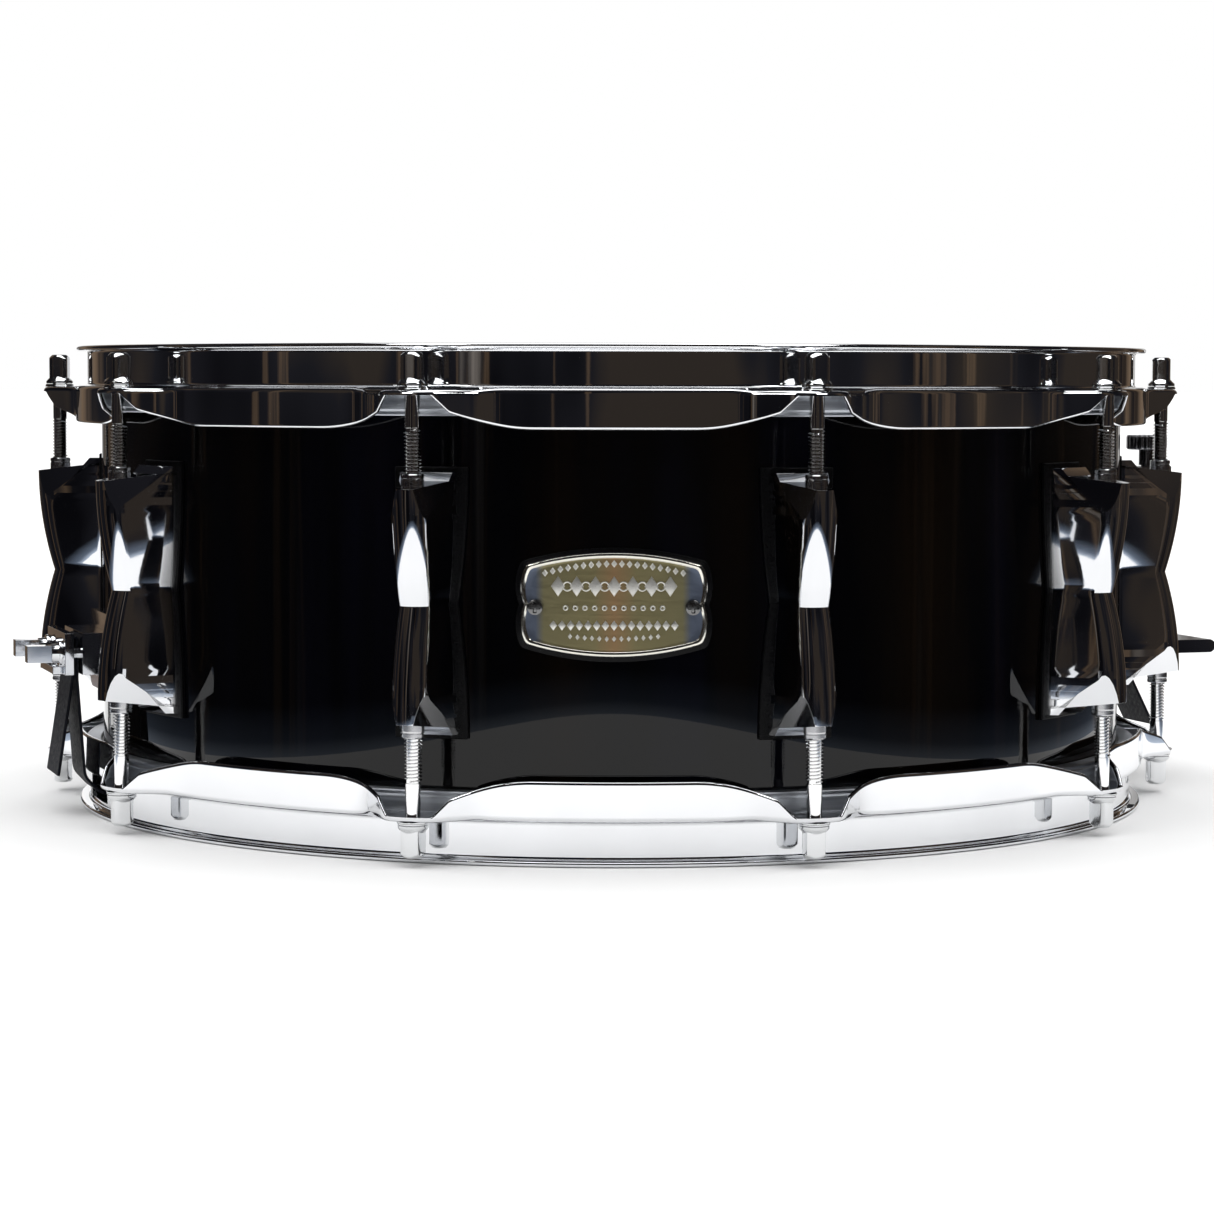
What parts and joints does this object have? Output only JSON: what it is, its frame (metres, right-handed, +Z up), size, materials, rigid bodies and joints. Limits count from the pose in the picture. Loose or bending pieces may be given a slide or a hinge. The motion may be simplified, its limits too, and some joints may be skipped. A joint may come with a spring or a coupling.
{
  "type": "snare drum",
  "caption": "Shallow round drum with tuned heads, chrome hoops, tension rods, lugs and a snare throw-off.",
  "frame": {"origin": "on the drum's axis, in the plane of the snare-side rim's lowest face, which the drum stands on", "axes": "+Z up along the drum's axis to the batter head, -Y towards the badge, the throw-off on the +X side"},
  "size_m": [0.4295, 0.3848, 0.1567],
  "materials": {
    "shell_lacquer": "black gloss lacquer",
    "head_coated": "coated film",
    "head_clear": "clear film",
    "flesh_hoop_metal": "satin",
    "hoop_chrome": "polished",
    "lug_chrome": "polished",
    "rod_steel": "plated",
    "fitting_chrome": "polished",
    "nut_metal": "plated",
    "screw_steel": "plated",
    "wire_steel": "bright wire",
    "gasket_rubber": "satin",
    "badge_metal": "brushed",
    "strap_nylon": "woven"
  },
  "bodies": {
    "drum": {"shell": "shell_lacquer", "batter_head": "head_coated", "snare_side_head": "head_clear", "batter_flesh_hoop": "flesh_hoop_metal", "snare_side_flesh_hoop": "flesh_hoop_metal", "batter_hoop": "hoop_chrome", "snare_side_hoop": "hoop_chrome", "lug_gaskets": "gasket_rubber", "swivel_nuts": "nut_metal", "rod_washers": "nut_metal", "lug_screws": "screw_steel", "lug_screw_washers": "screw_steel", "mounting_screws": "screw_steel", "badge": "badge_metal", "badge_screws": "screw_steel", "vent_grommet": "fitting_chrome", "butt_strap": "strap_nylon", "butt_base": "fitting_chrome", "butt_clamp_plate": "fitting_chrome", "butt_clamp_screws": "fitting_chrome", "strainer_base": "fitting_chrome", "strainer_pivot_pin": "screw_steel", "lug_01": "lug_chrome", "lug_02": "lug_chrome", "lug_03": "lug_chrome", "lug_04": "lug_chrome", "lug_05": "lug_chrome", "lug_06": "lug_chrome", "lug_07": "lug_chrome", "lug_08": "lug_chrome", "lug_09": "lug_chrome", "lug_10": "lug_chrome"},
    "lever": {"strainer_lever": "fitting_chrome"},
    "carriage": {"strainer_carriage": "fitting_chrome", "strainer_clamp_plate": "fitting_chrome", "strainer_clamp_screws": "screw_steel"},
    "knob": {"strainer_knob": "fitting_chrome"},
    "snares": {"snare_wires": "wire_steel", "snare_end_plates": "wire_steel", "strainer_strap": "strap_nylon"},
    "batter_rod_01": {"batter_rod_01": "rod_steel"},
    "batter_rod_02": {"batter_rod_02": "rod_steel"},
    "batter_rod_03": {"batter_rod_03": "rod_steel"},
    "batter_rod_04": {"batter_rod_04": "rod_steel"},
    "batter_rod_05": {"batter_rod_05": "rod_steel"},
    "batter_rod_06": {"batter_rod_06": "rod_steel"},
    "batter_rod_07": {"batter_rod_07": "rod_steel"},
    "batter_rod_08": {"batter_rod_08": "rod_steel"},
    "batter_rod_09": {"batter_rod_09": "rod_steel"},
    "batter_rod_10": {"batter_rod_10": "rod_steel"},
    "snare_side_rod_01": {"snare_side_rod_01": "rod_steel"},
    "snare_side_rod_02": {"snare_side_rod_02": "rod_steel"},
    "snare_side_rod_03": {"snare_side_rod_03": "rod_steel"},
    "snare_side_rod_04": {"snare_side_rod_04": "rod_steel"},
    "snare_side_rod_05": {"snare_side_rod_05": "rod_steel"},
    "snare_side_rod_06": {"snare_side_rod_06": "rod_steel"},
    "snare_side_rod_07": {"snare_side_rod_07": "rod_steel"},
    "snare_side_rod_08": {"snare_side_rod_08": "rod_steel"},
    "snare_side_rod_09": {"snare_side_rod_09": "rod_steel"},
    "snare_side_rod_10": {"snare_side_rod_10": "rod_steel"}
  },
  "joints": [
    {"name": "throw_off", "type": "hinge", "parent": "drum", "child": "lever", "pos_m": [0.18831, 0.06119, 0.08635], "axis": [0.309, -0.9511, 0], "range_deg": [0, 75]},
    {"name": "carriage_drop", "type": "slide", "parent": "drum", "child": "carriage", "axis": [0, 0, -1], "range_m": [0, 0.004], "deforming": ["strainer_strap"]},
    {"name": "snare_drop", "type": "slide", "parent": "drum", "child": "snares", "axis": [0, 0, -1], "range_m": [0, 0.0015], "deforming": ["butt_strap"]},
    {"name": "snare_tension", "type": "hinge", "parent": "carriage", "child": "knob", "pos_m": [0.20048, 0.06514, 0.12235], "axis": [0, 0, 1], "continuous": true},
    {"name": "batter_tune_01", "type": "hinge", "parent": "drum", "child": "batter_rod_01", "pos_m": [0.06004, -0.18479, 0.13835], "axis": [0, 0, 1], "continuous": true},
    {"name": "snare_side_tune_01", "type": "hinge", "parent": "drum", "child": "snare_side_rod_01", "pos_m": [0.06004, -0.18479, 0.01835], "axis": [0, 0, 1], "continuous": true},
    {"name": "batter_tune_02", "type": "hinge", "parent": "drum", "child": "batter_rod_02", "pos_m": [0.15719, -0.11421, 0.13835], "axis": [0, 0, 1], "continuous": true},
    {"name": "snare_side_tune_02", "type": "hinge", "parent": "drum", "child": "snare_side_rod_02", "pos_m": [0.15719, -0.11421, 0.01835], "axis": [0, 0, 1], "continuous": true},
    {"name": "batter_tune_03", "type": "hinge", "parent": "drum", "child": "batter_rod_03", "pos_m": [0.1943, 0, 0.13835], "axis": [0, 0, 1], "continuous": true},
    {"name": "snare_side_tune_03", "type": "hinge", "parent": "drum", "child": "snare_side_rod_03", "pos_m": [0.1943, 0, 0.01835], "axis": [0, 0, 1], "continuous": true},
    {"name": "batter_tune_04", "type": "hinge", "parent": "drum", "child": "batter_rod_04", "pos_m": [0.15719, 0.11421, 0.13835], "axis": [0, 0, 1], "continuous": true},
    {"name": "snare_side_tune_04", "type": "hinge", "parent": "drum", "child": "snare_side_rod_04", "pos_m": [0.15719, 0.11421, 0.01835], "axis": [0, 0, 1], "continuous": true},
    {"name": "batter_tune_05", "type": "hinge", "parent": "drum", "child": "batter_rod_05", "pos_m": [0.06004, 0.18479, 0.13835], "axis": [0, 0, 1], "continuous": true},
    {"name": "snare_side_tune_05", "type": "hinge", "parent": "drum", "child": "snare_side_rod_05", "pos_m": [0.06004, 0.18479, 0.01835], "axis": [0, 0, 1], "continuous": true},
    {"name": "batter_tune_06", "type": "hinge", "parent": "drum", "child": "batter_rod_06", "pos_m": [-0.06004, 0.18479, 0.13835], "axis": [0, 0, 1], "continuous": true},
    {"name": "snare_side_tune_06", "type": "hinge", "parent": "drum", "child": "snare_side_rod_06", "pos_m": [-0.06004, 0.18479, 0.01835], "axis": [0, 0, 1], "continuous": true},
    {"name": "batter_tune_07", "type": "hinge", "parent": "drum", "child": "batter_rod_07", "pos_m": [-0.15719, 0.11421, 0.13835], "axis": [0, 0, 1], "continuous": true},
    {"name": "snare_side_tune_07", "type": "hinge", "parent": "drum", "child": "snare_side_rod_07", "pos_m": [-0.15719, 0.11421, 0.01835], "axis": [0, 0, 1], "continuous": true},
    {"name": "batter_tune_08", "type": "hinge", "parent": "drum", "child": "batter_rod_08", "pos_m": [-0.1943, 0, 0.13835], "axis": [0, 0, 1], "continuous": true},
    {"name": "snare_side_tune_08", "type": "hinge", "parent": "drum", "child": "snare_side_rod_08", "pos_m": [-0.1943, 0, 0.01835], "axis": [0, 0, 1], "continuous": true},
    {"name": "batter_tune_09", "type": "hinge", "parent": "drum", "child": "batter_rod_09", "pos_m": [-0.15719, -0.11421, 0.13835], "axis": [0, 0, 1], "continuous": true},
    {"name": "snare_side_tune_09", "type": "hinge", "parent": "drum", "child": "snare_side_rod_09", "pos_m": [-0.15719, -0.11421, 0.01835], "axis": [0, 0, 1], "continuous": true},
    {"name": "batter_tune_10", "type": "hinge", "parent": "drum", "child": "batter_rod_10", "pos_m": [-0.06004, -0.18479, 0.13835], "axis": [0, 0, 1], "continuous": true},
    {"name": "snare_side_tune_10", "type": "hinge", "parent": "drum", "child": "snare_side_rod_10", "pos_m": [-0.06004, -0.18479, 0.01835], "axis": [0, 0, 1], "continuous": true}
  ],
  "couplings": [
    {"joint": "carriage_drop", "follows": "throw_off", "m_per_rad": 0.00305},
    {"joint": "snare_drop", "follows": "throw_off", "m_per_rad": 0.00114}
  ]
}
